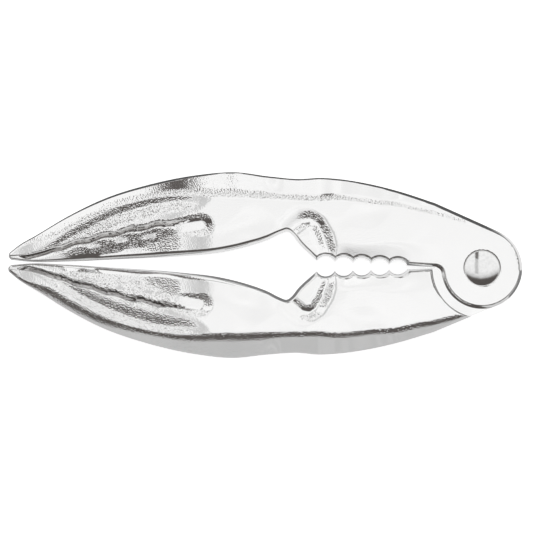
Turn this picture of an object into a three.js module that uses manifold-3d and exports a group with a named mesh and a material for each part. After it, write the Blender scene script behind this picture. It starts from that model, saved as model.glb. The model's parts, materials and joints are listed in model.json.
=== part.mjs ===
// A claw-shaped nutcracker: two identical cast levers, one turned over, on a half-lap pivot with a rivet.
// Millimetres. The pivot axis is Z at the origin, the claws point along -X, and the part lies on z = 0.

import * as THREE from "three";
import { LoftGeometry } from "three/addons/geometries/LoftGeometry.js";
import { mergeVertices } from "three/addons/utils/BufferGeometryUtils.js";
import Module from "manifold-3d";

// Overall sizes
const REACH = 175.3; // pivot axis to claw tips
const HALF_WIDTH = 34.4; // midline to the widest point of one lever
const THICKNESS = 12.7;
const TIP_HALF_HEIGHT = 2.3;
const PARTING_LAND = 0.45; // half of the upright rim left along the parting line

// Pivot
const BOSS_RADIUS = 15;
const BOSS_EDGE = 1.1; // rounding of the boss's rim
const SEAT_GAP = 3.3; // between a boss and the seat cut in the other lever
const LAP_CLEARANCE = 0.3; // between the two lapped halves, and round the rivet
const SHANK_RADIUS = 4;
const RIVET_HEAD_RADIUS = 6.5;
const RIVET_HEAD_DEPTH = 2.2;
const RIVET_DOME = 0.3;

// Jaw
const CLOSED_GAP = 0.4; // between the levers where they come closest
const TOOTH_COUNT = 5;
const TOOTH_PITCH = 6.69;
const TOOTH_DEPTH = 1.9;
const JAW_END = 27.6; // pivot axis to the tooth nearest to it
const TOOTH_CLEARANCE = 0.45; // from the closed line to the tooth point nearest to the pivot
const JAW_TAPER = 1.3; // how far the jaw's teeth lean open towards the claws
const NOTCH_DEPTH = 12.6; // midline to the top of the shell notch
const NOTCH_RUN = 11.5; // outermost tooth to the top of the shell notch
const HEEL_FILLET = 2.5; // between the jaw's flat heel and the boss

// Face of the casting
const INNER_DRAFT = 1.2; // how far the inner wall leans in from parting line to face
const GROOVE_WIDTH = 3.8;
const GROOVE_DEPTH = 2.2;
const GROOVE_END = 0.6; // share of the reach where the groove between the two fingers ends
const FACE_DROP = 0.6; // how far the face falls from its crest to its edges

const HALF_GAP = CLOSED_GAP / 2;
const HALF_THICKNESS = THICKNESS / 2;
const JAW_START = JAW_END + TOOTH_COUNT * TOOTH_PITCH;
const NOTCH_X = -(JAW_START + NOTCH_RUN);
const SEAT_RADIUS = BOSS_RADIUS + SEAT_GAP;
const ROUND_SEGMENTS = 48;

const wasm = await Module();
wasm.setup();

// A smooth curve through [station, value] pairs in rising order of station.
function smoothCurve(pairs) {
  const stations = pairs.map((pair) => pair[0]);
  const values = pairs.map((pair) => pair[1]);
  const curve = new THREE.CubicInterpolant(stations, values, 1, new Float64Array(1));
  return (station) => curve.evaluate(station)[0];
}

// Outer edge: share of the reach, share of the half width.
const outerShape = smoothCurve([
  [0.1, 0.695],
  [0.175, 0.814],
  [0.238, 0.89],
  [0.302, 0.939],
  [0.344, 0.951],
  [0.386, 0.936],
  [0.45, 0.959],
  [0.524, 1],
  [0.598, 0.968],
  [0.705, 0.855],
  [0.8, 0.695],
  [0.874, 0.506],
  [0.94, 0.3],
  [0.98, 0.177],
  [0.995, 0.128],
  [1, 0.09],
]);

// Inner edge of the claw: share of the way from the notch to the tip, share of the notch's depth.
const clawInnerShape = smoothCurve([
  [0, 1],
  [0.025, 0.915],
  [0.061, 0.766],
  [0.133, 0.556],
  [0.23, 0.363],
  [0.38, 0.226],
  [0.6, 0.113],
  [0.8, 0.024],
  [0.93, 0.01],
  [0.985, 0.05],
  [0.995, 0.085],
  [1, 0.14],
]);

// The notch's flank beside the jaw: share of the run from tooth to notch, share of the notch's depth.
const notchFlankShape = smoothCurve([
  [0, 0],
  [0.26, 0.25],
  [0.58, 0.58],
  [0.8, 0.88],
  [0.92, 0.98],
  [1, 1],
]);

// Width of the sloped outer bank, by share of the reach.
const outerBank = smoothCurve([
  [0, BOSS_EDGE],
  [0.12, 1.7],
  [0.3, 5],
  [0.42, 6.6],
  [0.5, 7.6],
  [0.6, 7],
  [0.72, 4.2],
  [0.88, 2.4],
  [0.97, 1.6],
  [1, 0.4],
]);

// Where the groove's outer wall runs, as a share of the face's width from its inner edge.
const grooveShape = smoothCurve([
  [0.6, 0.57],
  [0.7, 0.56],
  [0.77, 0.5],
  [0.87, 0.485],
  [0.95, 0.38],
  [1, 0.4],
]);

// The point where the outer edge leaves its curve and runs straight to touch the boss.
const shoulder = new THREE.Vector2(-0.1 * REACH, 0.695 * HALF_WIDTH);
const tangentAngle = shoulder.angle() - Math.acos(BOSS_RADIUS / shoulder.length());
const tangentPoint = new THREE.Vector2(BOSS_RADIUS, 0).rotateAround(new THREE.Vector2(), tangentAngle);

// The fillet between the jaw's heel and the boss touches both.
const filletY = HALF_GAP - HEEL_FILLET;
const filletX = -Math.sqrt((BOSS_RADIUS + HEEL_FILLET) ** 2 - filletY ** 2);
const filletEnd = new THREE.Vector2(filletX, filletY).setLength(BOSS_RADIUS);

function outerEdge(x) {
  if (x <= shoulder.x) return HALF_WIDTH * outerShape(-x / REACH);
  const t = (x - shoulder.x) / (tangentPoint.x - shoulder.x);
  return THREE.MathUtils.lerp(shoulder.y, tangentPoint.y, t);
}

// Height of the tooth points: nearly closed at the pivot end, leaning open towards the claws.
function toothLine(x) {
  const along = THREE.MathUtils.clamp((-x - JAW_END) / (JAW_START - JAW_END), 0, 1);
  return HALF_GAP + TOOTH_CLEARANCE + JAW_TAPER * along;
}

function scallop(x) {
  const along = ((-x - JAW_END) / TOOTH_PITCH) % 1;
  const radius = (TOOTH_PITCH ** 2 / 4 + TOOTH_DEPTH ** 2) / (2 * TOOTH_DEPTH);
  const fromMiddle = (along - 0.5) * TOOTH_PITCH;
  return Math.sqrt(radius ** 2 - fromMiddle ** 2) - (radius - TOOTH_DEPTH);
}

function innerEdge(x) {
  if (x >= filletEnd.x) return filletEnd.y;
  if (x > filletX) return filletY + Math.sqrt(HEEL_FILLET ** 2 - (x - filletX) ** 2);
  if (x > -JAW_END) {
    return THREE.MathUtils.mapLinear(x, -JAW_END, filletX, toothLine(-JAW_END), HALF_GAP);
  }
  if (x > -JAW_START) return toothLine(x) + scallop(x);
  if (x > NOTCH_X) {
    const low = toothLine(x);
    return low + (NOTCH_DEPTH - low) * notchFlankShape((-x - JAW_START) / NOTCH_RUN);
  }
  return HALF_GAP + (NOTCH_DEPTH - HALF_GAP) * clawInnerShape((x - NOTCH_X) / (-REACH - NOTCH_X));
}

// Half height of the face's crest: full over the jaw and palm, thinning towards the tip.
function crestHeight(x) {
  const thin = THREE.MathUtils.smoothstep(-x / REACH, 0.62, 1);
  return THREE.MathUtils.lerp(HALF_THICKNESS, TIP_HALF_HEIGHT, thin);
}

// One cross-section: a closed ring of points, mirrored about the parting plane.
function crossSection(x) {
  const share = -x / REACH;
  const inner = innerEdge(x);
  const outer = outerEdge(x);
  const width = outer - inner;
  const crest = crestHeight(x);
  const claw = THREE.MathUtils.smoothstep(share, GROOVE_END - 0.01, GROOVE_END + 0.06);
  const groove = claw * (1 - THREE.MathUtils.smoothstep(share, 0.9, 0.98));
  const low = inner + Math.min(INNER_DRAFT, width / 4);
  const high = outer - Math.min(outerBank(Math.max(share, 0)), width / 3);
  const wall = THREE.MathUtils.lerp(low, high, THREE.MathUtils.lerp(0.6, grooveShape(share), claw));
  const grooveSpan = Math.min(GROOVE_WIDTH, 0.8 * (wall - low));
  const innerCrest = THREE.MathUtils.lerp(THREE.MathUtils.lerp(low, wall, 0.4), wall - grooveSpan, claw);
  const drop = FACE_DROP * THREE.MathUtils.smoothstep(share, 0.2, 0.5);
  const top = [
    [inner, PARTING_LAND],
    [low, crest - drop],
    [innerCrest, crest],
    [wall - grooveSpan * 0.46, crest - GROOVE_DEPTH * groove],
    [wall, crest - drop * claw],
    [(wall + high) / 2, crest],
    [high, crest - drop],
    [outer, PARTING_LAND],
  ].map(([y, z]) => new THREE.Vector3(x, y, z));
  const bottom = top.map((point) => new THREE.Vector3(point.x, point.y, -point.z));
  return [...bottom, ...top.reverse()];
}

// Stations along the lever, closer together where the outline turns quickly.
function stations() {
  const list = [];
  const addEven = (from, to, count) => {
    for (let i = 0; i < count; i += 1) list.push(THREE.MathUtils.lerp(from, to, i / count));
  };
  addEven(-REACH, -0.97 * REACH, 6);
  addEven(-0.97 * REACH, -0.6 * REACH, 22);
  addEven(-0.6 * REACH, NOTCH_X, 12);
  addEven(NOTCH_X, -JAW_START, 8);
  addEven(-JAW_START, -JAW_END, 8 * TOOTH_COUNT);
  addEven(-JAW_END, shoulder.x, 4);
  addEven(shoulder.x, filletEnd.x, 4);
  addEven(filletEnd.x, tangentPoint.x, 4);
  list.push(tangentPoint.x);
  return list;
}

function solidFrom(geometry) {
  const bare = new THREE.BufferGeometry();
  bare.setAttribute("position", geometry.getAttribute("position"));
  bare.setIndex(geometry.getIndex());
  const merged = mergeVertices(bare, 1e-3);
  return new wasm.Manifold(
    new wasm.Mesh({
      numProp: 3,
      vertProperties: merged.attributes.position.array,
      triVerts: new Uint32Array(merged.index.array),
    }),
  );
}

function geometryFrom(solid) {
  const mesh = solid.getMesh();
  const geometry = new THREE.BufferGeometry();
  geometry.setAttribute("position", new THREE.BufferAttribute(mesh.vertProperties, 3));
  geometry.setIndex(new THREE.BufferAttribute(mesh.triVerts, 1));
  geometry.computeVertexNormals();
  return geometry;
}

// A round solid about Z from [radius, z] pairs that start and end on the axis, rising in z.
function turned(profile) {
  const points = profile.map(([radius, z]) => new THREE.Vector2(radius, z));
  return new THREE.LatheGeometry(points, ROUND_SEGMENTS).rotateX(Math.PI / 2);
}

function cylinderBetween(radius, bottom, top) {
  return solidFrom(turned([[0, bottom], [radius, bottom], [radius, top], [0, top]]));
}

// The boss keeps only the half of the lap above the parting plane. Its rim is rounded.
function bossSolid() {
  const rim = [];
  for (let i = 0; i <= 4; i += 1) {
    const angle = (i / 4) * (Math.PI / 2);
    rim.push([
      BOSS_RADIUS - BOSS_EDGE + BOSS_EDGE * Math.cos(angle),
      HALF_THICKNESS - BOSS_EDGE + BOSS_EDGE * Math.sin(angle),
    ]);
  }
  const lap = LAP_CLEARANCE / 2;
  return solidFrom(turned([[0, lap], [BOSS_RADIUS, lap], ...rim, [0, HALF_THICKNESS]]));
}

// One casting about its parting plane, with its boss above that plane.
function leverSolid() {
  const body = solidFrom(new LoftGeometry(stations().map(crossSection), { capStart: true, capEnd: true }));
  const seat = cylinderBetween(SEAT_RADIUS, -THICKNESS, LAP_CLEARANCE / 2);
  const bore = cylinderBetween(SHANK_RADIUS + LAP_CLEARANCE, -THICKNESS, THICKNESS);
  const headFloor = HALF_THICKNESS - RIVET_HEAD_DEPTH - LAP_CLEARANCE;
  const headRecess = cylinderBetween(RIVET_HEAD_RADIUS + LAP_CLEARANCE, headFloor, THICKNESS);
  return body.subtract(seat).add(bossSolid()).subtract(bore).subtract(headRecess);
}

// The set rivet: a slightly domed head, a shank and a flat tail that rests flush with the levers.
function rivetGeometry() {
  const headBase = HALF_THICKNESS - RIVET_HEAD_DEPTH;
  const dome = [];
  for (let i = 0; i <= 5; i += 1) {
    const radius = RIVET_HEAD_RADIUS * (1 - i / 5);
    dome.push([radius, HALF_THICKNESS - RIVET_DOME * (radius / RIVET_HEAD_RADIUS) ** 2]);
  }
  return turned([
    [0, -HALF_THICKNESS],
    [RIVET_HEAD_RADIUS, -HALF_THICKNESS],
    [RIVET_HEAD_RADIUS, -headBase],
    [SHANK_RADIUS, -headBase],
    [SHANK_RADIUS, headBase],
    [RIVET_HEAD_RADIUS, headBase],
    ...dome,
  ]);
}

function chrome(color, roughness) {
  return new THREE.MeshStandardMaterial({ color, roughness, metalness: 1 });
}

const castChrome = chrome(0xd9dbdd, 0.18);
const polishedSteel = chrome(0xc4c6c8, 0.08);
const leverGeometry = geometryFrom(leverSolid());

const upperLever = new THREE.Mesh(leverGeometry, castChrome);
upperLever.name = "upper_lever";

const lowerLever = new THREE.Mesh(leverGeometry, castChrome);
lowerLever.name = "lower_lever";
lowerLever.rotation.x = Math.PI;

const pivotRivet = new THREE.Mesh(rivetGeometry(), polishedSteel);
pivotRivet.name = "pivot_rivet";

const nutcracker = new THREE.Group();
nutcracker.add(upperLever, lowerLever, pivotRivet);
nutcracker.position.z = HALF_THICKNESS;

export default nutcracker;
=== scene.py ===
"""A chromed claw nutcracker: two cast levers that lap at a riveted pivot, lying on a pale floor."""

import json
import math

import bmesh
import bpy
import numpy as np
from bpy.props import FloatProperty, FloatVectorProperty, IntProperty, PointerProperty
from mathutils import Matrix, Vector
from mathutils.kdtree import KDTree


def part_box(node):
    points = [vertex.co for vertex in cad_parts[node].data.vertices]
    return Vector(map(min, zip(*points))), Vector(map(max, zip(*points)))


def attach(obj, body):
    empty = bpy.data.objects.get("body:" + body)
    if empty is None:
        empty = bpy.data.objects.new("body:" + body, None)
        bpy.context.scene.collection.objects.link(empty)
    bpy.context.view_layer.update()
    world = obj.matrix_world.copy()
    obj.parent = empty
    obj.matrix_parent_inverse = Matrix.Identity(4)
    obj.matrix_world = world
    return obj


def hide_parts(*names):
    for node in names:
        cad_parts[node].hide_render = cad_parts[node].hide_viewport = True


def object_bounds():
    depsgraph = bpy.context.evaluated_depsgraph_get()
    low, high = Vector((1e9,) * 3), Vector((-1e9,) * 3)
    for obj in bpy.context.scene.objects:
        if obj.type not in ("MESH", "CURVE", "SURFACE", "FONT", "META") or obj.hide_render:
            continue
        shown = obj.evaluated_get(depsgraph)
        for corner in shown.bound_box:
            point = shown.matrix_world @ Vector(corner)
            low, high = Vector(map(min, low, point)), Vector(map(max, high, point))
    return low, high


bl_info = {
    "name": "Claw Nutcracker",
    "version": (1, 0, 0),
    "blender": (4, 5, 0),
    "location": "View3D > Sidebar > Nutcracker",
    "description": "Builds a chromed claw nutcracker on a studio floor",
    "category": "Add Mesh",
}

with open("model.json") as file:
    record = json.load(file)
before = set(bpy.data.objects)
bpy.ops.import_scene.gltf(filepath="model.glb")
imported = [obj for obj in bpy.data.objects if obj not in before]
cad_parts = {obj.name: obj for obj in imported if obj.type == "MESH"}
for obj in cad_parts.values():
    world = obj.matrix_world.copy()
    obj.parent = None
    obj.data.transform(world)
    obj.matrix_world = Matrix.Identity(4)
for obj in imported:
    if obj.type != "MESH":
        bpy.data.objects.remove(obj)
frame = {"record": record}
cad_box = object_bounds()

MM = 0.001
BODIES = {
    node: body
    for body, nodes in frame["record"]["behaviour"]["bodies"].items()
    for node in nodes
}
LEVER_LOW, LEVER_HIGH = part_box("upper_lever")
RIVET_LOW, RIVET_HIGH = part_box("pivot_rivet")

# Sizes taken from the frame, in millimetres
REACH = -LEVER_LOW.x / MM
HALF_WIDTH = LEVER_HIGH.y / MM
BOSS_RADIUS = LEVER_HIGH.x / MM
HALF_THICKNESS = (LEVER_HIGH.z - LEVER_LOW.z) / 2 / MM
RIVET_RADIUS = RIVET_HIGH.x / MM

# Fixed sizes of the casting, in millimetres
CLOSED_HALF_GAP = 0.2
HEEL_FILLET = 2.5
NOTCH_DEPTH = 12.6
NOTCH_RUN = 11.5
JAW_END = 27.6
JAW_TAPER = 1.3
TOOTH_COUNT = 5
TOOTH_PITCH = 6.69
TOOTH_DEPTH = 1.9
TOOTH_CLEARANCE = 0.45
TIP_RADIUS = 1.6
TIP_OFFSET = 2.5
TIP_HALF_HEIGHT = 2.3
PARTING_LAND = 0.3
JAW_START = JAW_END + TOOTH_COUNT * TOOTH_PITCH
NOTCH_X = -(JAW_START + NOTCH_RUN)

# The pivot, in millimetres
SEAT_GAP = 3.3
SEAT_RIM = 1.3
LAP_CLEARANCE = 0.3
SHANK_RADIUS = 4.0
HEAD_DEPTH = 2.2
HEAD_POCKET_DEPTH = 2.5
HEAD_GAP = 0.12
DOME_RISE = 0.6
TAIL_CHAMFER = 0.25

# Slopes of the casting, as height over width
BANK_SLOPE = 0.7
CLAW_BANK_SLOPE = 0.58
WALL_SLOPE = 6.0
FINGER_SLOPE = 0.25

# The claw's relief, in millimetres
CREASE_WAVE = 10.0
CREASE_WAVE_AT = -142.8
CREASE_WAVE_HEIGHT = 0.32
GROOVE_WALL = 1.75
GROOVE_FOOT = 0.45
GROOVE_START_DEPTH = 0.7
RIDGE_INSET = 0.7
RIDGE_DEPTH = 0.75

# Treads on the inner finger: station along the lever, distance inside the crease, and half
# length and half width
TREADS = ((-143.5, 3.9, 2.7, 1.3), (-133.5, 4.2, 2.8, 1.6), (-123.1, 4.9, 3.4, 1.8))
TREAD_LEAN = 0.22
POCKET_LINE = ((-112.5, 13.0), (-104.0, 14.6))
POCKET_DEPTH = 0.7
JAW_FOLD = (
    (-71.0, 12.8), (-66.5, 16.6), (-63.5, 17.2), (-61.2, 15.6), (-58.6, 11.2), (-57.2, 6.0),
    (-56.6, 1.0),
)

# The face's drop toward the jaw's teeth: its depth, and the distances over which it comes and goes
JAW_DROP = 0.6
JAW_DROP_WIDTH = (1, 9.5)
JAW_DROP_START = (-58, -50)
JAW_DROP_END = (-50, -12)

FLOOR_CLEARANCE = 0.02

# What the camera looks straight down at, in metres
VIEW_CENTER = (-0.0797, -0.00035)

# Angle in degrees past which a lever's edge stays sharp
LEVER_SHARP_ANGLE = 40

# Noise scales of the two finishes
CAST_GRAIN = 2100
RIVET_GRAIN = 400

# The studio's level at each angle in front of straight up, in degrees
STUDIO_STOPS = (
    (-180, 0.5), (-97, 0.05), (-75.5, 0.05), (-73, 0.97), (-20, 1.0), (4, 0.98), (7, 0.9),
    (9, 0.76), (11, 0.66), (13, 0.1), (50, 0.09), (60, 0.55), (100, 0.58), (180, 0.58),
)


# ---------------------------------------------------------------- settings


class NUTCRACKER_PG_casting(bpy.types.PropertyGroup):
    """Sizes of the cast levers' surface"""

    rungs_per_mm: FloatProperty(
        name="Rungs per mm", description="How finely the casting is divided along its length",
        default=1.9, min=0.5, max=4)
    columns: IntProperty(
        name="Columns", description="How finely the casting is divided across its width",
        default=92, min=16, max=120)
    edge_round: FloatProperty(
        name="Edge rounding", description="Height over which the face rolls over into its bank",
        default=1.1 * MM, subtype="DISTANCE", unit="LENGTH")
    rim_round: FloatProperty(
        name="Rim rounding", description="Radius that rolls the face over into its inner wall",
        default=2.3 * MM, subtype="DISTANCE", unit="LENGTH")
    groove_depth: FloatProperty(
        name="Groove depth", description="Depth of the groove between the claw's two fingers",
        default=2.4 * MM, subtype="DISTANCE", unit="LENGTH")
    waviness: FloatProperty(
        name="Waviness", description="Height of the casting's slow surface waves",
        default=0.045 * MM, subtype="DISTANCE", unit="LENGTH")


class NUTCRACKER_PG_finish(bpy.types.PropertyGroup):
    """Colours and surface of the metal, and the painted shade in the groove"""

    chrome_color: FloatVectorProperty(
        name="Chrome", description="Colour of the chrome plate",
        size=3, subtype="COLOR", default=(0.87, 0.868, 0.865), min=0, max=1)
    # Painted shade: the plate is darkened to this colour along the foot of the groove's wall
    groove_shade_color: FloatVectorProperty(
        name="Groove shade", description="Colour of the plate in the groove's recess",
        size=3, subtype="COLOR", default=(0.3, 0.285, 0.275), min=0, max=1)
    rivet_color: FloatVectorProperty(
        name="Rivet", description="Colour of the polished rivet",
        size=3, subtype="COLOR", default=(0.8, 0.798, 0.795), min=0, max=1)
    pebble_height: FloatProperty(
        name="Pebble height", description="Height of the fine pebbles under the plate",
        default=0.24 * MM, subtype="DISTANCE", unit="LENGTH")


class NUTCRACKER_PG_stage(bpy.types.PropertyGroup):
    """Floor, light and camera"""

    floor_color: FloatVectorProperty(
        name="Floor", description="Colour of the floor",
        size=3, subtype="COLOR", default=(0.9, 0.9, 0.9), min=0, max=1)
    camera_distance: FloatProperty(
        name="Camera distance", description="Height of the camera above the part",
        default=3, subtype="DISTANCE", unit="LENGTH")
    camera_roll: FloatProperty(
        name="Camera roll", description="Turn of the camera about its own line of sight",
        default=math.radians(0.73), subtype="ANGLE", unit="ROTATION")
    view_width: FloatProperty(
        name="View width", description="Width of the view at the part",
        default=0.1978, subtype="DISTANCE", unit="LENGTH")


# ---------------------------------------------------------------- outline of the casting


def smooth_curve(pairs):
    """A smooth function through (station, value) pairs, level beyond the first and last."""
    stations, values = np.array(pairs, float).T
    slopes = np.gradient(values, stations)

    def value_at(station):
        at = np.clip(station, stations[0], stations[-1])
        i = np.clip(np.searchsorted(stations, at, side="right") - 1, 0, len(stations) - 2)
        width = stations[i + 1] - stations[i]
        t = (at - stations[i]) / width
        rise = values[i + 1] - values[i]
        bend_in = slopes[i] * width - rise
        bend_out = rise - slopes[i + 1] * width
        return values[i] + t * rise + t * (1 - t) * ((1 - t) * bend_in + t * bend_out)

    return value_at


def smoothstep(low, high, value):
    t = np.clip((value - low) / (high - low), 0, 1)
    return t * t * (3 - 2 * t)


def soft_min(a, b, reach):
    """The lower of two heights, rounded where they meet."""
    share = np.clip(0.5 + 0.5 * (b - a) / reach, 0, 1)
    return b + (a - b) * share - reach * share * (1 - share)


# Outer edge: share of the reach, share of the half width
OUTER_SHAPE = smooth_curve([
    (0.1, 0.695), (0.175, 0.814), (0.238, 0.89), (0.302, 0.939), (0.344, 0.951), (0.386, 0.936),
    (0.45, 0.959), (0.524, 1), (0.598, 0.968), (0.705, 0.855), (0.8, 0.695), (0.874, 0.506),
    (0.94, 0.3), (0.98, 0.177), (0.9972, 0.106),
])

# Inner edge of the claw: share of the way from the notch to the tip, share of the notch's depth
CLAW_INNER_SHAPE = smooth_curve([
    (0, 1), (0.025, 0.915), (0.061, 0.766), (0.133, 0.556), (0.23, 0.363), (0.38, 0.226),
    (0.6, 0.113), (0.8, 0.024), (0.93, 0.01), (0.985, 0.056),
])

# The notch's flank beside the jaw: share of the run from tooth to notch, share of the notch's depth
NOTCH_FLANK_SHAPE = smooth_curve([
    (0, 0), (0.26, 0.25), (0.58, 0.58), (0.8, 0.88), (0.92, 0.98), (1, 1),
])

# Width of the sloped outer bank in millimetres, by share of the reach
OUTER_BANK = smooth_curve([
    (-0.1, 1.1), (0.03, 1.4), (0.09, 3), (0.13, 4.1), (0.175, 4.6), (0.217, 5.9), (0.28, 6.5),
    (0.302, 6.7), (0.344, 7.5), (0.386, 6.8), (0.44, 7), (0.49, 7.7), (0.535, 8), (0.6, 6.7),
    (0.64, 5.9), (0.705, 4.8), (0.77, 3.5), (0.81, 2.6), (0.87, 2.3), (0.92, 2.1), (0.96, 0.9),
    (1, 0.6),
])

# The crease at the outer finger's foot: share of the reach, share of the half width
CREASE_SHAPE = smooth_curve([
    (0.613, 0.492), (0.673, 0.468), (0.713, 0.43), (0.756, 0.384), (0.799, 0.326), (0.841, 0.27),
    (0.884, 0.209), (0.927, 0.137), (0.969, 0.087), (1, 0.075),
])


def tooth_line(x):
    along = np.clip((-x - JAW_END) / (JAW_START - JAW_END), 0, 1)
    return CLOSED_HALF_GAP + TOOTH_CLEARANCE + JAW_TAPER * along


def scallop(x):
    radius = (TOOTH_PITCH ** 2 / 4 + TOOTH_DEPTH ** 2) / (2 * TOOTH_DEPTH)
    from_middle = (((-x - JAW_END) / TOOTH_PITCH) % 1 - 0.5) * TOOTH_PITCH
    return np.sqrt(radius ** 2 - from_middle ** 2) - (radius - TOOTH_DEPTH)


SHOULDER = Vector((-0.1 * REACH, 0.695 * HALF_WIDTH))
TANGENT_ANGLE = math.atan2(SHOULDER.y, SHOULDER.x) - math.acos(BOSS_RADIUS / SHOULDER.length)
TANGENT_POINT = BOSS_RADIUS * Vector((math.cos(TANGENT_ANGLE), math.sin(TANGENT_ANGLE)))
FILLET_Y = CLOSED_HALF_GAP - HEEL_FILLET
FILLET_X = -math.sqrt((BOSS_RADIUS + HEEL_FILLET) ** 2 - FILLET_Y ** 2)


def outer_edge(x):
    rise = (TANGENT_POINT.y - SHOULDER.y) / (TANGENT_POINT.x - SHOULDER.x)
    straight = SHOULDER.y + (x - SHOULDER.x) * rise
    return np.where(x <= SHOULDER.x, HALF_WIDTH * OUTER_SHAPE(-x / REACH), straight)


def inner_edge(x):
    line = tooth_line(x)
    heel_share = np.clip((x + JAW_END) / (FILLET_X + JAW_END), 0, 1)
    heel = line + heel_share * (CLOSED_HALF_GAP - line)
    flank = line + (NOTCH_DEPTH - line) * NOTCH_FLANK_SHAPE((-x - JAW_START) / NOTCH_RUN)
    claw_share = (x - NOTCH_X) / (-REACH - NOTCH_X)
    claw = CLOSED_HALF_GAP + (NOTCH_DEPTH - CLOSED_HALF_GAP) * CLAW_INNER_SHAPE(claw_share)
    where = [x > -JAW_END, x > -JAW_START, x > NOTCH_X]
    return np.select(where, [heel, line + scallop(x), flank], claw)


def arc(center, radius, start, end, count):
    angles = np.radians(np.linspace(start, end, count))
    x = center[0] + radius * np.cos(angles)
    y = center[1] + radius * np.sin(angles)
    return np.stack([x, y], axis=1)


def even_points(points, count):
    """The same path as count points an even distance apart."""
    steps = np.hypot(*np.diff(points, axis=0).T)
    length = np.concatenate([[0], np.cumsum(steps)])
    at = np.linspace(0, length[-1], count)
    return np.stack([np.interp(at, length, column) for column in points.T], axis=1)


def casting_edges(rungs_per_mm):
    """Matching points along the inner and outer edges, from the tip to the boss's far side."""
    tip = (-REACH + TIP_RADIUS, TIP_OFFSET)
    tip_inner = arc(tip, TIP_RADIUS, 180, 270, 9)
    tip_outer = arc(tip, TIP_RADIUS, 180, 134, 9)
    claw_start = -0.94 * REACH
    bend_start = NOTCH_X - 8
    inner, outer = [tip_inner], [tip_outer]

    def add_edges(inner_x, outer_x):
        inner.append(np.stack([inner_x, inner_edge(inner_x)], axis=1)[1:])
        outer.append(np.stack([outer_x, outer_edge(outer_x)], axis=1)[1:])

    def steps(start, end, density):
        return int(abs(end - start) * rungs_per_mm * density) + 1

    count = steps(-REACH, claw_start, 1.3)
    add_edges(*(np.linspace(end[-1, 0], claw_start, count) for end in (tip_inner, tip_outer)))
    for start, end, density in (
        (claw_start, bend_start, 1.0),
        (bend_start, -JAW_START, 1.5),
        (-JAW_START, -JAW_END, 1.9),
        (-JAW_END, FILLET_X, 1.0),
    ):
        x = np.linspace(start, end, steps(start, end, density))
        add_edges(x, x)
    fillet_angle = math.degrees(math.atan2(-FILLET_Y, -FILLET_X))
    boss_inner = np.concatenate([
        arc((FILLET_X, FILLET_Y), HEEL_FILLET, 90, fillet_angle, 24),
        arc((0, 0), BOSS_RADIUS, 180 + fillet_angle, 360, 300)[1:],
    ])
    run = np.linspace(FILLET_X, TANGENT_POINT.x, 60)
    boss_outer = np.concatenate([
        np.stack([run, outer_edge(run)], axis=1),
        arc((0, 0), BOSS_RADIUS, math.degrees(TANGENT_ANGLE), 0, 200)[1:],
    ])
    count = steps(0, 48, 1.1)
    inner.append(even_points(boss_inner, count)[1:])
    outer.append(even_points(boss_outer, count)[1:])
    return np.concatenate(inner), np.concatenate(outer)


def edge_distance(path, points):
    """Distance from each point to the path, and the path's x where it is nearest."""
    tree = KDTree(len(path))
    for i, (x, y) in enumerate(path):
        tree.insert((x, y, 0), i)
    tree.balance()
    near = np.array([tree.find((x, y, 0))[1] for x, y in points])
    best = np.full(len(points), np.inf)
    where = np.zeros(len(points))
    for shift in (-1, 0):
        i = np.clip(near + shift, 0, len(path) - 2)
        start, along = path[i], path[i + 1] - path[i]
        t = ((points - start) * along).sum(1) / np.maximum((along ** 2).sum(1), 1e-12)
        t = np.clip(t, 0, 1)
        foot = start + along * t[:, None]
        distance = np.hypot(*(points - foot).T)
        closer = distance < best
        best = np.where(closer, distance, best)
        where = np.where(closer, foot[:, 0], where)
    return best, where


# ---------------------------------------------------------------- relief of the casting's face


def crease_line(x):
    """The wavy crease along the foot of the outer finger."""
    share = -x / REACH
    wave_mask = smoothstep(0.93, 0.88, share) * smoothstep(0.64, 0.69, share)
    wave = CREASE_WAVE_HEIGHT * np.sin(2 * math.pi * (x - CREASE_WAVE_AT) / CREASE_WAVE)
    return HALF_WIDTH * CREASE_SHAPE(share) + wave * wave_mask


def outer_finger(share, outer_distance):
    """Depth of the outer finger: a channel along its bank, then a gentle ledge."""
    toward_tip = 1 - smoothstep(0.86, 0.97, share)
    middle = 9.0 - 1.6 * smoothstep(0.6, 0.7, share)
    reach = 2.4 - 0.8 * smoothstep(0.7, 0.84, share)
    channel = (0.1 + 0.25 * reach) * np.exp(-(((outer_distance - middle) / reach) ** 2))
    return toward_tip * (channel + 0.15 * smoothstep(6.0, 10.5, outer_distance))


def inner_finger(share, from_foot):
    """Depth of the inner finger: a ridge just inside its foot, then a slope to the inner edge."""
    fall = FINGER_SLOPE * (1 - 0.75 * smoothstep(0.8, 0.92, share))
    ridge = RIDGE_DEPTH + fall * (np.sqrt((from_foot - RIDGE_INSET) ** 2 + 0.16) - 0.4)
    deepest = 1.1 + 0.8 * smoothstep(0.63, 0.72, share)
    return soft_min(ridge, deepest, 0.2)


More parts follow.
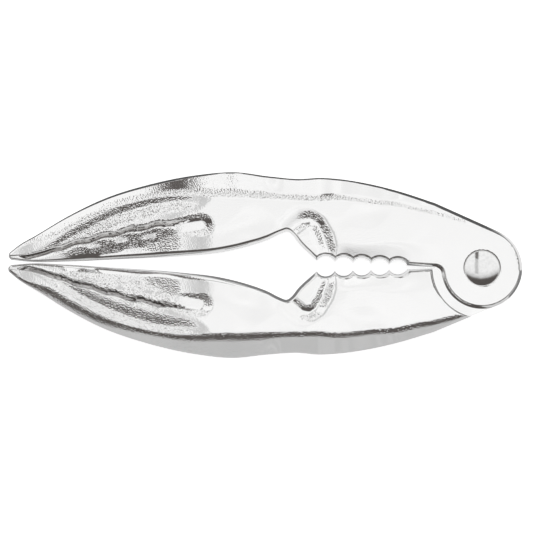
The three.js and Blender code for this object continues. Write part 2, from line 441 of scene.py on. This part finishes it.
def claw_relief(x, y, outer_distance, groove_depth):
    """How far the claw's fingers and groove lie under the crest, and the painted shade where the
    groove is deep.
    """
    share = -x / REACH
    fingers = smoothstep(0.56, 0.7, share)
    groove = smoothstep(0.606, 0.63, share) * (1 - smoothstep(0.955, 0.985, share))
    wall = GROOVE_WALL * smoothstep(0.606, 0.66, share) * groove + 1e-3
    from_crease = y - crease_line(x)
    down_wall = -from_crease / wall
    past_wall = -from_crease - wall
    ledge = outer_finger(share, outer_distance)
    ridge = inner_finger(share, past_wall - GROOVE_FOOT)
    floor_depth = GROOVE_START_DEPTH + (groove_depth - GROOVE_START_DEPTH) * groove
    wall_share = 0.5 * np.clip(down_wall, 0, 1) + 0.5 * smoothstep(0, 1, down_wall)
    wall_depth = ledge + (floor_depth - ledge) * wall_share
    finger_depth = floor_depth + (ridge - floor_depth) * smoothstep(0, GROOVE_FOOT, past_wall)
    depth = np.select([from_crease > 0, from_crease > -wall], [ledge, wall_depth], finger_depth)
    # Mask for the painted shade: a thin band along the foot of the groove's wall
    recess = groove * np.clip(1 - np.abs(past_wall) / 0.4, 0, 1)
    return fingers * depth, recess


def finger_treads(x, y):
    """Level treads along the inner finger, which otherwise slopes down to the inner edge."""
    height = np.zeros_like(x)
    for center, inset, length, width in TREADS:
        line = crease_line(np.array([center]))[0] - inset
        along = x - center
        across = y - line - TREAD_LEAN * along
        height -= FINGER_SLOPE * across * np.exp(-((along / length) ** 4) - (across / width) ** 4)
    return height


def line_distance(x, y, corners):
    """Distance from each point to a chain of straight lines."""
    best = np.full_like(x, np.inf)
    for start, end in zip(corners, corners[1:]):
        along = np.subtract(end, start)
        t = ((x - start[0]) * along[0] + (y - start[1]) * along[1]) / (along ** 2).sum()
        t = np.clip(t, 0, 1)
        best = np.minimum(best, np.hypot(x - start[0] - t * along[0], y - start[1] - t * along[1]))
    return best


def pocket(x, y):
    """The rounded scoop that ends the groove."""
    return POCKET_DEPTH * (1 - smoothstep(1.4, 5.0, line_distance(x, y, POCKET_LINE)))


def jaw_corner(x, y):
    """The V-shaped valley that sets off the corner between notch and jaw, and its lean."""
    fold_x, fold_y = np.array(JAW_FOLD).T
    inside = (y < np.interp(x, fold_x, fold_y)) & (x > fold_x[0]) & (x < fold_x[-1])
    reach = np.where(inside, 1.8, 3.4 - 1.2 * smoothstep(-70, -62, x))
    depth = 0.4 + 0.15 * smoothstep(-69, -64, x)
    valley = depth * np.exp(-((line_distance(x, y, JAW_FOLD) / reach) ** 2))
    lean_mask = smoothstep(-72, -68, x) * (1 - smoothstep(-60.5, -57.5, x))
    return valley + 0.35 * np.clip((15 - y) / 12, 0, 1) * lean_mask


def jaw_slope(x, y):
    """How far the face has sloped down toward the jaw's teeth."""
    across = JAW_DROP * (1 - smoothstep(*JAW_DROP_WIDTH, y))
    return across * smoothstep(*JAW_DROP_START, x) * (1 - smoothstep(*JAW_DROP_END, x))


def surface_waves(x, y):
    """Slow waves of the cast surface, none at the pivot."""
    total = 0
    for k in range(1, 8):
        length = 1.5 + 0.4 * k
        along = x * math.cos(k * 1.7) + y * math.sin(k * 1.7)
        total += math.cos(k * 2.4) * np.sin(along / length + k)
    return 0.5 * total * smoothstep(0.1, 0.2, -x / REACH)


def rim_drop(distance, radius):
    """How far a rim of this radius has fallen at each distance from the edge."""
    inside = np.clip(radius - distance, 0, radius)
    return radius - np.sqrt(radius ** 2 - inside ** 2)


def casting_relief(x, y, inner, outer, settings):
    """Half height of the casting above its parting plane, and how much painted shade a point gets
    in the groove's recess.
    """
    inner_distance, _ = inner
    outer_distance, outer_x = outer
    share = -x / REACH
    crest = HALF_THICKNESS + (TIP_HALF_HEIGHT - HALF_THICKNESS) * smoothstep(0.62, 1, share)
    claw, recess = claw_relief(x, y, outer_distance, settings.groove_depth / MM)
    scoop = pocket(x, y) * smoothstep(0.55, 0.57, share)
    face = crest - np.maximum(claw, scoop) + finger_treads(x, y)
    face = face - jaw_corner(x, y) - jaw_slope(x, y)
    face = np.minimum(face + surface_waves(x, y) * settings.waviness / MM, crest)
    # Roll over into the outer bank and the outer wall
    bank_width = OUTER_BANK(-outer_x / REACH)
    bank_slope = BANK_SLOPE + (CLAW_BANK_SLOPE - BANK_SLOPE) * smoothstep(0.42, 0.47, share)
    bank = crest - bank_slope * (bank_width - outer_distance)
    wall_height = np.maximum(crest - bank_slope * bank_width, 0)
    outer_side = soft_min(bank, PARTING_LAND + WALL_SLOPE * outer_distance, 0.3 + 0.2 * wall_height)
    reach = np.minimum(settings.edge_round / MM, bank_slope * bank_width)
    height = soft_min(face, outer_side, reach)
    # Roll over into the inner wall, tighter along the jaw than along the claw
    tightness = (0.65 + 0.35 * smoothstep(0.38, 0.5, share)) * crest / HALF_THICKNESS
    height = height - rim_drop(inner_distance, settings.rim_round / MM * tightness)
    height = soft_min(height, PARTING_LAND + WALL_SLOPE * inner_distance, 0.3)
    return np.maximum(height, PARTING_LAND), recess


def pebble_strength(x, y, inner_distance, outer, tilt):
    """How strongly the pebbles show: most on moderate slopes, least on faces and rims."""
    outer_distance, outer_x = outer
    claws = smoothstep(0.5, 0.62, -x / REACH)
    worn = 0.02 + 0.03 * claws
    past_bank = smoothstep(-1.0, 3.0, outer_distance - OUTER_BANK(-outer_x / REACH))
    off_rim = smoothstep(2.2, 3.2, inner_distance)
    off_crease = smoothstep(0.5, 1.2, np.abs(y - crease_line(x) + 0.9))
    sloped = smoothstep(0, 1, (tilt - 5 + 2 * claws) / 5) * (1 - smoothstep(24, 32, tilt))
    return worn + (1 - worn) * off_rim * off_crease * (0.38 + 0.47 * past_bank) * sloped


# ---------------------------------------------------------------- mesh helpers


def spun(profile, segments):
    """A bmesh of a solid turned about Z, from (radius, z) pairs in mm that end on the axis."""
    bm = bmesh.new()
    verts = [bm.verts.new((radius * MM, 0, z * MM)) for radius, z in profile]
    edges = [bm.edges.new(pair) for pair in zip(verts, verts[1:])]
    bmesh.ops.spin(bm, geom=verts + edges, cent=(0, 0, 0), axis=(0, 0, 1), angle=2 * math.pi,
                   steps=segments, use_merge=True)
    bmesh.ops.remove_doubles(bm, verts=bm.verts, dist=1e-7)
    bmesh.ops.recalc_face_normals(bm, faces=bm.faces)
    return bm


def object_from(bm, name, sharp_angle):
    """Makes the object that a bmesh describes, smooth shaded but for its sharp edges."""
    mesh = bpy.data.meshes.new(name)
    bm.to_mesh(mesh)
    bm.free()
    mesh.shade_smooth()
    mesh.set_sharp_from_angle(angle=math.radians(sharp_angle))
    piece = bpy.data.objects.new(name, mesh)
    bpy.context.scene.collection.objects.link(piece)
    return piece


def cut_away(piece, cutter):
    """Takes the cutter's space out of the piece, and deletes the cutter."""
    modifier = piece.modifiers.new("cut", "BOOLEAN")
    modifier.operation = "DIFFERENCE"
    modifier.solver = "EXACT"
    modifier.object = cutter
    bpy.context.view_layer.update()
    evaluated = piece.evaluated_get(bpy.context.evaluated_depsgraph_get())
    cut = bpy.data.meshes.new_from_object(evaluated)
    piece.modifiers.clear()
    piece.data = cut
    bpy.data.objects.remove(cutter)


# ---------------------------------------------------------------- materials


def new_material(name):
    material = bpy.data.materials.new(name)
    material.use_nodes = True
    nodes, links = material.node_tree.nodes, material.node_tree.links
    return material, nodes, links, nodes["Principled BSDF"]


def calculator(nodes, links):
    """Short ways to add a math node, an eased step and a soft-edged band to a node tree."""

    def calc(operation, *operands):
        node = nodes.new("ShaderNodeMath")
        node.operation = operation
        for socket, value in zip(node.inputs, operands):
            if isinstance(value, (int, float)):
                socket.default_value = value
            else:
                links.new(value, socket)
        return node.outputs["Value"]

    def ease(value, low, high, start=0.0, end=1.0):
        node = nodes.new("ShaderNodeMapRange")
        node.interpolation_type = "SMOOTHSTEP"
        ends = (("From Min", low), ("From Max", high), ("To Min", start), ("To Max", end))
        for name, number in ends:
            node.inputs[name].default_value = number
        links.new(value, node.inputs["Value"])
        return node.outputs["Result"]

    def band(value, low, high, soft):
        rising = ease(value, low - soft, low + soft)
        return calc("MULTIPLY", rising, ease(value, high - soft, high + soft, 1, 0))

    return calc, ease, band


def add_noise(nodes, links, place, scale, detail):
    """Adds a noise texture on the given coordinates and returns its node."""
    noise = nodes.new("ShaderNodeTexNoise")
    noise.inputs["Scale"].default_value = scale
    noise.inputs["Detail"].default_value = detail
    links.new(place, noise.inputs["Vector"])
    return noise


def pebble_group():
    """Fine pebbles, slow dimples and handling marks of a plated casting: height and roughness."""
    name = "pebbled plating"
    if name in bpy.data.node_groups:
        return bpy.data.node_groups[name]
    group = bpy.data.node_groups.new(name, "ShaderNodeTree")
    face = group.interface
    grain_in = face.new_socket(name="Grain", in_out="INPUT", socket_type="NodeSocketFloat")
    grain_in.default_value = CAST_GRAIN
    face.new_socket(name="Height", in_out="OUTPUT", socket_type="NodeSocketFloat")
    face.new_socket(name="Roughness", in_out="OUTPUT", socket_type="NodeSocketFloat")
    nodes, links = group.nodes, group.links
    group_in = nodes.new("NodeGroupInput")
    group_out = nodes.new("NodeGroupOutput")
    place = nodes.new("ShaderNodeTexCoord").outputs["Object"]
    calc, _, _ = calculator(nodes, links)
    fine = add_noise(nodes, links, place, CAST_GRAIN, 0)
    links.new(group_in.outputs["Grain"], fine.inputs["Scale"])
    broad = add_noise(nodes, links, place, 330, 1)
    both = calc("MULTIPLY_ADD", broad.outputs["Fac"], 0.35, fine.outputs["Fac"])
    links.new(calc("SUBTRACT", both, 0.67), group_out.inputs["Height"])
    haze = add_noise(nodes, links, place, 90, 5)
    spread = nodes.new("ShaderNodeMapRange")
    spread.inputs["To Min"].default_value = 0.03
    spread.inputs["To Max"].default_value = 0.11
    links.new(haze.outputs["Fac"], spread.inputs["Value"])
    links.new(spread.outputs["Result"], group_out.inputs["Roughness"])
    return group


def add_pebbles(nodes, links, shader, grain):
    """Adds the pebbled plating at this grain, with its roughness linked to the shader."""
    pebbles = nodes.new("ShaderNodeGroup")
    pebbles.node_tree = pebble_group()
    pebbles.inputs["Grain"].default_value = grain
    links.new(pebbles.outputs["Roughness"], shader.inputs["Roughness"])
    return pebbles


def add_bump(nodes, links, shader, height, distance):
    bump = nodes.new("ShaderNodeBump")
    bump.inputs["Distance"].default_value = distance
    links.new(height, bump.inputs["Height"])
    links.new(bump.outputs["Normal"], shader.inputs["Normal"])


def cast_chrome(finish):
    material, nodes, links, shader = new_material("cast chrome plate")
    shader.inputs["Metallic"].default_value = 1
    pebbles = add_pebbles(nodes, links, shader, CAST_GRAIN)
    calc, _, _ = calculator(nodes, links)
    grain = nodes.new("ShaderNodeAttribute")
    grain.attribute_name = "grain"
    height = calc("MULTIPLY", pebbles.outputs["Height"], grain.outputs["Fac"])
    add_bump(nodes, links, shader, height, finish.pebble_height)
    # Painted shade: the plate darkens toward the groove shade colour along the groove wall's foot,
    # by the recess mask
    groove_shade = nodes.new("ShaderNodeAttribute")
    groove_shade.attribute_name = "recess"
    tone = nodes.new("ShaderNodeMix")
    tone.data_type = "RGBA"
    tone.inputs["A"].default_value = (*finish.chrome_color, 1)
    tone.inputs["B"].default_value = (*finish.groove_shade_color, 1)
    links.new(groove_shade.outputs["Fac"], tone.inputs["Factor"])
    links.new(tone.outputs["Result"], shader.inputs["Base Color"])
    return material


def polished_steel(finish):
    material, nodes, links, shader = new_material("polished rivet steel")
    shader.inputs["Metallic"].default_value = 1
    shader.inputs["Base Color"].default_value = (*finish.rivet_color, 1)
    marks = add_pebbles(nodes, links, shader, RIVET_GRAIN)
    add_bump(nodes, links, shader, marks.outputs["Height"], finish.pebble_height * 0.03)
    return material


# ---------------------------------------------------------------- pieces


def casting_half(settings):
    """The half of the casting above its parting plane, as a relief moved out of a flat grid."""
    inner_path, outer_path = casting_edges(settings.rungs_per_mm)
    bm = bmesh.new()
    bmesh.ops.create_grid(bm, x_segments=len(inner_path) - 1, y_segments=settings.columns, size=1)
    grid = np.array([vert.co for vert in bm.verts])
    rung = np.rint((grid[:, 0] + 1) / 2 * (len(inner_path) - 1)).astype(int)
    across = (grid[:, 1] + 1) / 2
    # Columns crowd toward both edges, where the rims are
    across = across - 0.4 / (2 * math.pi) * np.sin(2 * math.pi * across)
    points = inner_path[rung] + (outer_path[rung] - inner_path[rung]) * across[:, None]
    inner, outer = edge_distance(inner_path, points), edge_distance(outer_path, points)
    height, recess = casting_relief(*points.T, inner, outer, settings)
    height[(across < 1e-6) | (across > 1 - 1e-6)] = 0
    # The recess attribute carries the painted shade at the groove wall's foot
    groove_shade_layer = bm.verts.layers.float.new("recess")
    grain_layer = bm.verts.layers.float.new("grain")
    for vert, point, z, depth in zip(bm.verts, points, height, recess):
        vert.co = (point[0] * MM, point[1] * MM, z * MM)
        vert[groove_shade_layer] = depth
    bm.normal_update()
    tilt = np.degrees(np.arccos(np.clip([abs(vert.normal.z) for vert in bm.verts], 0, 1)))
    grain = pebble_strength(*points.T, inner[0], outer, tilt)
    for vert, value in zip(bm.verts, grain):
        vert[grain_layer] = value
    return bm


def pivot_cutter():
    """What is cut from a casting at its pivot: the other boss's seat, the bore and the recess."""
    lap = LAP_CLEARANCE / 2
    seat = BOSS_RADIUS + SEAT_GAP
    below, above = -HALF_THICKNESS - 1, HALF_THICKNESS + 1
    bore = SHANK_RADIUS + LAP_CLEARANCE
    head = RIVET_RADIUS + HEAD_GAP
    head_floor = HALF_THICKNESS - HEAD_POCKET_DEPTH
    seat_rim = [
        (seat + SEAT_RIM * (1 - math.cos(turn)), SEAT_RIM * (1 - math.sin(turn)) - HALF_THICKNESS)
        for turn in np.radians((82, 66, 50, 34, 17, 0))
    ]
    head_rim = [
        (head, HALF_THICKNESS - 0.3), (head + 0.1, HALF_THICKNESS - 0.08),
        (head + 0.35, HALF_THICKNESS + 0.02), (head + 0.6, above),
    ]
    bm = spun([
        (0, below), (seat + SEAT_RIM, below), (seat + SEAT_RIM, -HALF_THICKNESS - 0.05), *seat_rim,
        (seat, lap), (bore, lap), (bore, head_floor), (head, head_floor), *head_rim, (0, above),
    ], 144)
    return object_from(bm, "pivot_cutter", 30)


def build_casting(settings):
    """One whole casting about its parting plane, with its boss above that plane."""
    bm = casting_half(settings)
    copy = bmesh.ops.duplicate(bm, geom=bm.verts[:] + bm.edges[:] + bm.faces[:])["geom"]
    copied_verts = [item for item in copy if isinstance(item, bmesh.types.BMVert)]
    bmesh.ops.scale(bm, vec=(1, 1, -1), verts=copied_verts)
    bmesh.ops.remove_doubles(bm, verts=bm.verts, dist=1e-6)
    bmesh.ops.recalc_face_normals(bm, faces=bm.faces)
    piece = object_from(bm, "casting", LEVER_SHARP_ANGLE)
    cut_away(piece, pivot_cutter())
    return piece


def finish_piece(piece, node, material):
    piece.data.materials.clear()
    piece.data.materials.append(material)
    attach(piece, BODIES[node])
    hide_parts(node)


class NUTCRACKER_OT_levers(bpy.types.Operator):
    """Build the two cast levers, the second one turned over"""

    bl_idname = "nutcracker.levers"
    bl_label = "Levers"

    def execute(self, context):
        settings = context.scene.nutcracker_casting
        material = cast_chrome(context.scene.nutcracker_finish)
        casting = build_casting(settings)
        for node, turn in (("upper_lever", 0), ("lower_lever", math.pi)):
            mesh = casting.data.copy()
            raise_up = Matrix.Translation((0, 0, HALF_THICKNESS * MM))
            mesh.transform(raise_up @ Matrix.Rotation(turn, 4, "X"))
            mesh.shade_smooth()
            mesh.set_sharp_from_angle(angle=math.radians(LEVER_SHARP_ANGLE))
            piece = bpy.data.objects.new(node.replace("_lever", "_cast_lever"), mesh)
            context.scene.collection.objects.link(piece)
            finish_piece(piece, node, material)
        bpy.data.objects.remove(casting)
        return {"FINISHED"}


class NUTCRACKER_OT_rivet(bpy.types.Operator):
    """Build the set rivet with its domed head"""

    bl_idname = "nutcracker.rivet"
    bl_label = "Rivet"

    def execute(self, context):
        top = HALF_THICKNESS
        head_base = top - HEAD_DEPTH
        shares = np.linspace(0.97, 0, 20)
        dome = [(RIVET_RADIUS * share, top - DOME_RISE * share ** 2) for share in shares]
        bm = spun([
            (0, -top), (RIVET_RADIUS - TAIL_CHAMFER, -top), (RIVET_RADIUS, -top + TAIL_CHAMFER),
            (RIVET_RADIUS, -head_base), (SHANK_RADIUS, -head_base), (SHANK_RADIUS, head_base),
            (RIVET_RADIUS, head_base), (RIVET_RADIUS, top - 0.8), *dome,
        ], 96)
        bmesh.ops.translate(bm, vec=(0, 0, HALF_THICKNESS * MM), verts=bm.verts)
        piece = object_from(bm, "set_rivet", 30)
        material = polished_steel(context.scene.nutcracker_finish)
        finish_piece(piece, "pivot_rivet", material)
        return {"FINISHED"}


# ---------------------------------------------------------------- stage


def studio_world():
    """A soft studio: a wide light overhead and behind, a dark gap in front, grey beneath."""
    world = bpy.data.worlds.new("soft studio")
    bpy.context.scene.world = world
    world.use_nodes = True
    nodes, links = world.node_tree.nodes, world.node_tree.links
    nodes.clear()
    out = nodes.new("ShaderNodeOutputWorld")
    light = nodes.new("ShaderNodeBackground")
    links.new(light.outputs["Background"], out.inputs["Surface"])
    place = nodes.new("ShaderNodeTexCoord")
    parts = nodes.new("ShaderNodeSeparateXYZ")
    links.new(place.outputs["Generated"], parts.inputs["Vector"])
    calc, ease, band = calculator(nodes, links)
    x, y, z = (parts.outputs[axis] for axis in "XYZ")
    # Light thrown from far to the side counts as coming from lower in front
    toward_gap = calc("SUBTRACT", calc("MULTIPLY", calc("MULTIPLY", x, x), 0.9), y)
    front = calc("DEGREES", calc("ARCTAN2", toward_gap, z))
    side = calc("DEGREES", calc("ARCTAN2", x, z))
    ramp = nodes.new("ShaderNodeValToRGB")
    elements = ramp.color_ramp.elements
    while len(elements) > 1:
        elements.remove(elements[-1])
    for i, (angle, gray) in enumerate(STUDIO_STOPS):
        position = angle / 360 + 0.5
        element = elements[0] if i == 0 else elements.new(position)
        element.position = position
        element.color = (gray, gray, gray, 1)
    links.new(calc("ADD", calc("DIVIDE", front, 360), 0.5), ramp.inputs["Fac"])
    level = calc("MULTIPLY", ramp.outputs["Color"], 1.1)

    def darken(amount):
        return calc("MULTIPLY", level, calc("SUBTRACT", 1, amount))

    # The frame bar across the overhead light
    bar = calc("MULTIPLY", band(side, -7.3, -3.1, 0.6), band(front, -24, 7, 0.4))
    level = darken(calc("MULTIPLY", bar, ease(front, -12, -10, 0.85, 0.38)))
    # A dark stand behind the part, a little to the left, with a narrow rail across its top
    bearing = calc("DIVIDE", x, calc("MAXIMUM", y, 0.01))
    stand = calc("MULTIPLY", band(bearing, -0.26, -0.05, 0.02), band(front, -68, -26, 1.5))
    rail = calc("MULTIPLY", band(bearing, -0.35, 0.22, 0.03), band(front, -33, -22, 2))
    level = darken(calc("MULTIPLY", calc("MAXIMUM", stand, calc("MULTIPLY", rail, 0.65)), 0.88))
    # Soft unevenness of the light
    cloud = add_noise(nodes, links, place.outputs["Generated"], 24, 2)
    level = calc("MULTIPLY", level, ease(cloud.outputs["Fac"], 0.3, 0.7, 0.9, 1.05))

    warmth = nodes.new("ShaderNodeMix")
    warmth.data_type = "RGBA"
    warmth.inputs["A"].default_value = (1, 0.9, 0.85, 1)
    warmth.inputs["B"].default_value = (1, 1, 1, 1)
    links.new(ease(level, 0, 0.5), warmth.inputs["Factor"])
    links.new(warmth.outputs["Result"], light.inputs["Color"])
    links.new(level, light.inputs["Strength"])
    return world


def reflected_floor(nodes, links, shader):
    """Painted reflection: polished metal sees the floor as a glow that is grey in front and painted
    dark far behind; the camera sees it plain.
    """
    place = nodes.new("ShaderNodeTexCoord")
    parts = nodes.new("ShaderNodeSeparateXYZ")
    links.new(place.outputs["Object"], parts.inputs["Vector"])
    calc, ease, band = calculator(nodes, links)
    x, y = parts.outputs["X"], parts.outputs["Y"]
    grade = ease(y, -0.03, 0.01, 0.58, 0.85)
    # Painted shade on the floor past a line behind the part, seen only in reflection
    brink = calc("MINIMUM", calc("MULTIPLY_ADD", x, 0.4, 0.074), 0.014)
    # Painted shade over the strip between the lower lever's claw and the midline, as if in that
    # lever's shade
    under = calc("MULTIPLY", band(y, -0.0125, -0.0006, 0.0005), 0.8)
    dark = calc("MAXIMUM", ease(calc("SUBTRACT", y, brink), 0, 0.004), under)
    lit = calc("SUBTRACT", 1, calc("MULTIPLY", dark, 0.88))
    seen = nodes.new("ShaderNodeEmission")
    links.new(calc("MULTIPLY", grade, lit), seen.inputs["Strength"])
    path = nodes.new("ShaderNodeLightPath")
    choice = nodes.new("ShaderNodeMixShader")
    links.new(path.outputs["Is Glossy Ray"], choice.inputs["Fac"])
    links.new(shader.outputs["BSDF"], choice.inputs[1])
    links.new(seen.outputs["Emission"], choice.inputs[2])
    links.new(choice.outputs["Shader"], nodes["Material Output"].inputs["Surface"])


class NUTCRACKER_OT_stage(bpy.types.Operator):
    """Set up the pale floor, the soft studio light and the camera overhead"""

    bl_idname = "nutcracker.stage"
    bl_label = "Stage"

    def execute(self, context):
        settings = context.scene.nutcracker_stage
        studio_world()
        context.scene.view_settings.view_transform = "Standard"
        bm = bmesh.new()
        bmesh.ops.create_grid(bm, x_segments=1, y_segments=1, size=3)
        floor_z = cad_box[0][2] - FLOOR_CLEARANCE * MM
        bmesh.ops.translate(bm, vec=(0, 0, floor_z), verts=bm.verts)
        floor = object_from(bm, "floor", 30)
        material, nodes, links, shader = new_material("pale floor")
        shader.inputs["Base Color"].default_value = (*settings.floor_color, 1)
        shader.inputs["Roughness"].default_value = 0.9
        shader.inputs["Specular IOR Level"].default_value = 0
        shader.inputs["Emission Color"].default_value = (1, 1, 1, 1)
        shader.inputs["Emission Strength"].default_value = 0.75
        reflected_floor(nodes, links, shader)
        floor.data.materials.append(material)
        camera = bpy.data.cameras.new("overhead camera")
        camera.lens = camera.sensor_width * settings.camera_distance / settings.view_width
        camera.clip_end = 50
        viewer = bpy.data.objects.new("overhead camera", camera)
        viewer.location = (*VIEW_CENTER, settings.camera_distance)
        viewer.rotation_euler = (0, 0, settings.camera_roll)
        context.scene.collection.objects.link(viewer)
        context.scene.camera = viewer
        return {"FINISHED"}


class NUTCRACKER_PT_panel(bpy.types.Panel):
    """Lists the nutcracker's pieces and their settings"""

    bl_label = "Nutcracker"
    bl_idname = "NUTCRACKER_PT_panel"
    bl_space_type = "VIEW_3D"
    bl_region_type = "UI"
    bl_category = "Nutcracker"

    def draw(self, context):
        for group in (context.scene.nutcracker_casting, context.scene.nutcracker_finish,
                      context.scene.nutcracker_stage):
            box = self.layout.box()
            for name in group.__annotations__:
                box.prop(group, name)
        for operator in OPERATORS:
            self.layout.operator(operator.bl_idname)


SETTINGS = {
    "nutcracker_casting": NUTCRACKER_PG_casting,
    "nutcracker_finish": NUTCRACKER_PG_finish,
    "nutcracker_stage": NUTCRACKER_PG_stage,
}
OPERATORS = (NUTCRACKER_OT_levers, NUTCRACKER_OT_rivet, NUTCRACKER_OT_stage)


def register():
    for cls in (*SETTINGS.values(), *OPERATORS, NUTCRACKER_PT_panel):
        bpy.utils.register_class(cls)
    for name, group in SETTINGS.items():
        setattr(bpy.types.Scene, name, PointerProperty(type=group))


def unregister():
    for name in SETTINGS:
        delattr(bpy.types.Scene, name)
    for cls in (NUTCRACKER_PT_panel, *reversed(OPERATORS), *reversed(SETTINGS.values())):
        bpy.utils.unregister_class(cls)


def main():
    register()
    bpy.ops.nutcracker.levers()
    bpy.ops.nutcracker.rivet()
    bpy.ops.nutcracker.stage()


if __name__ == "__main__":
    main()
